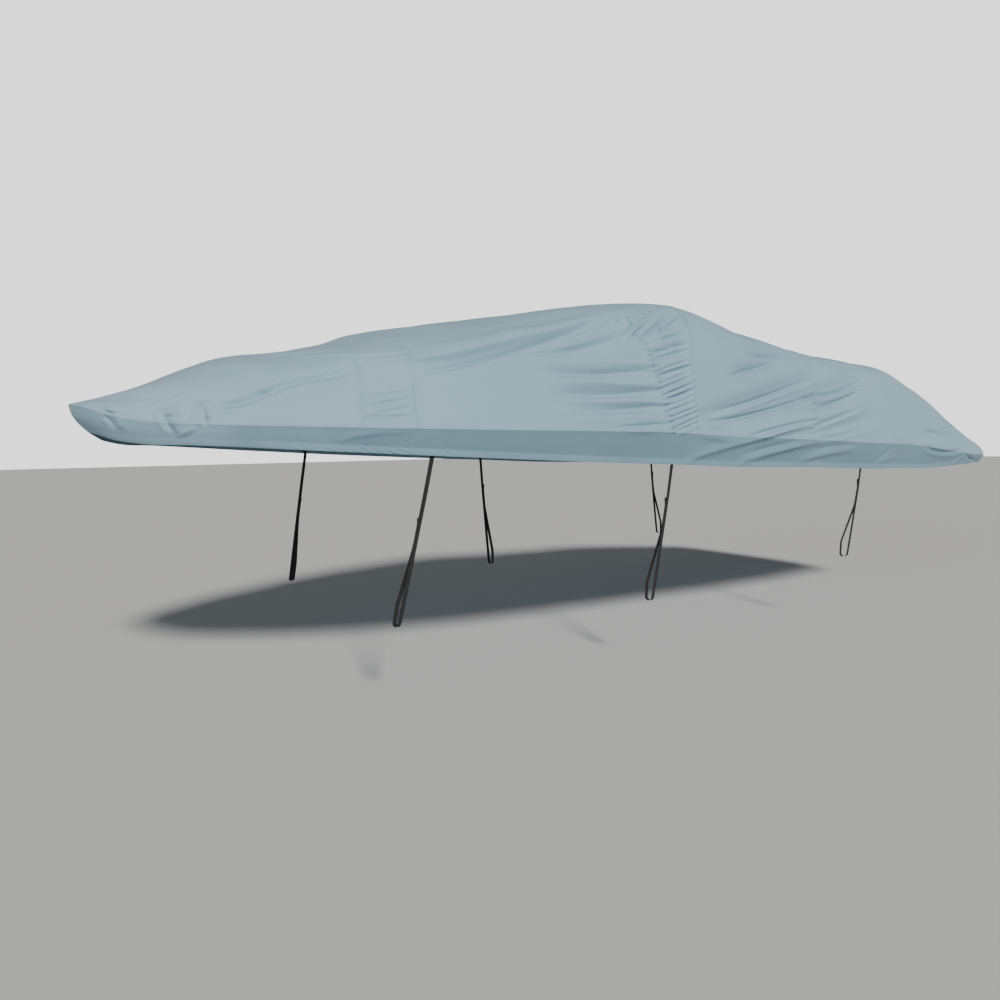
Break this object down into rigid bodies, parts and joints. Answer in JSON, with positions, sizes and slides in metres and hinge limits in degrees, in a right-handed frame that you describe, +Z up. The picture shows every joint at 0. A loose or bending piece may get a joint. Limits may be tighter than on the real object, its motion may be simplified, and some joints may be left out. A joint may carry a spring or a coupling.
{
  "type": "fitted boat cover with webbing tie-downs",
  "caption": "Fitted cloth cover for a runabout, hollow below, with a peaked top, a tucked skirt along the gunwale and black webbing tie-downs round the hem.",
  "frame": {"origin": "on the centreline, on the inner face of the cloth under its peak", "axes": "+X from the bow to the stern, +Y to starboard, +Z up"},
  "size_m": [7.56, 2.518, 2.0962],
  "materials": {
    "cover_cloth": "coated woven polyester, blue-grey, matt",
    "webbing": "black woven webbing"
  },
  "bodies": {
    "root": {"aft_panel": "cover_cloth", "bow_panel": "cover_cloth", "cockpit_panel": "cover_cloth", "front_band": "cover_cloth", "peak_panel": "cover_cloth", "skirt_port": "cover_cloth", "skirt_starboard": "cover_cloth", "stern_panel": "cover_cloth", "strap_port_aft": "webbing", "strap_port_fore": "webbing", "strap_port_mid": "webbing", "strap_starboard_aft": "webbing", "strap_starboard_fore": "webbing", "strap_starboard_mid": "webbing"}
  },
  "joints": []
}
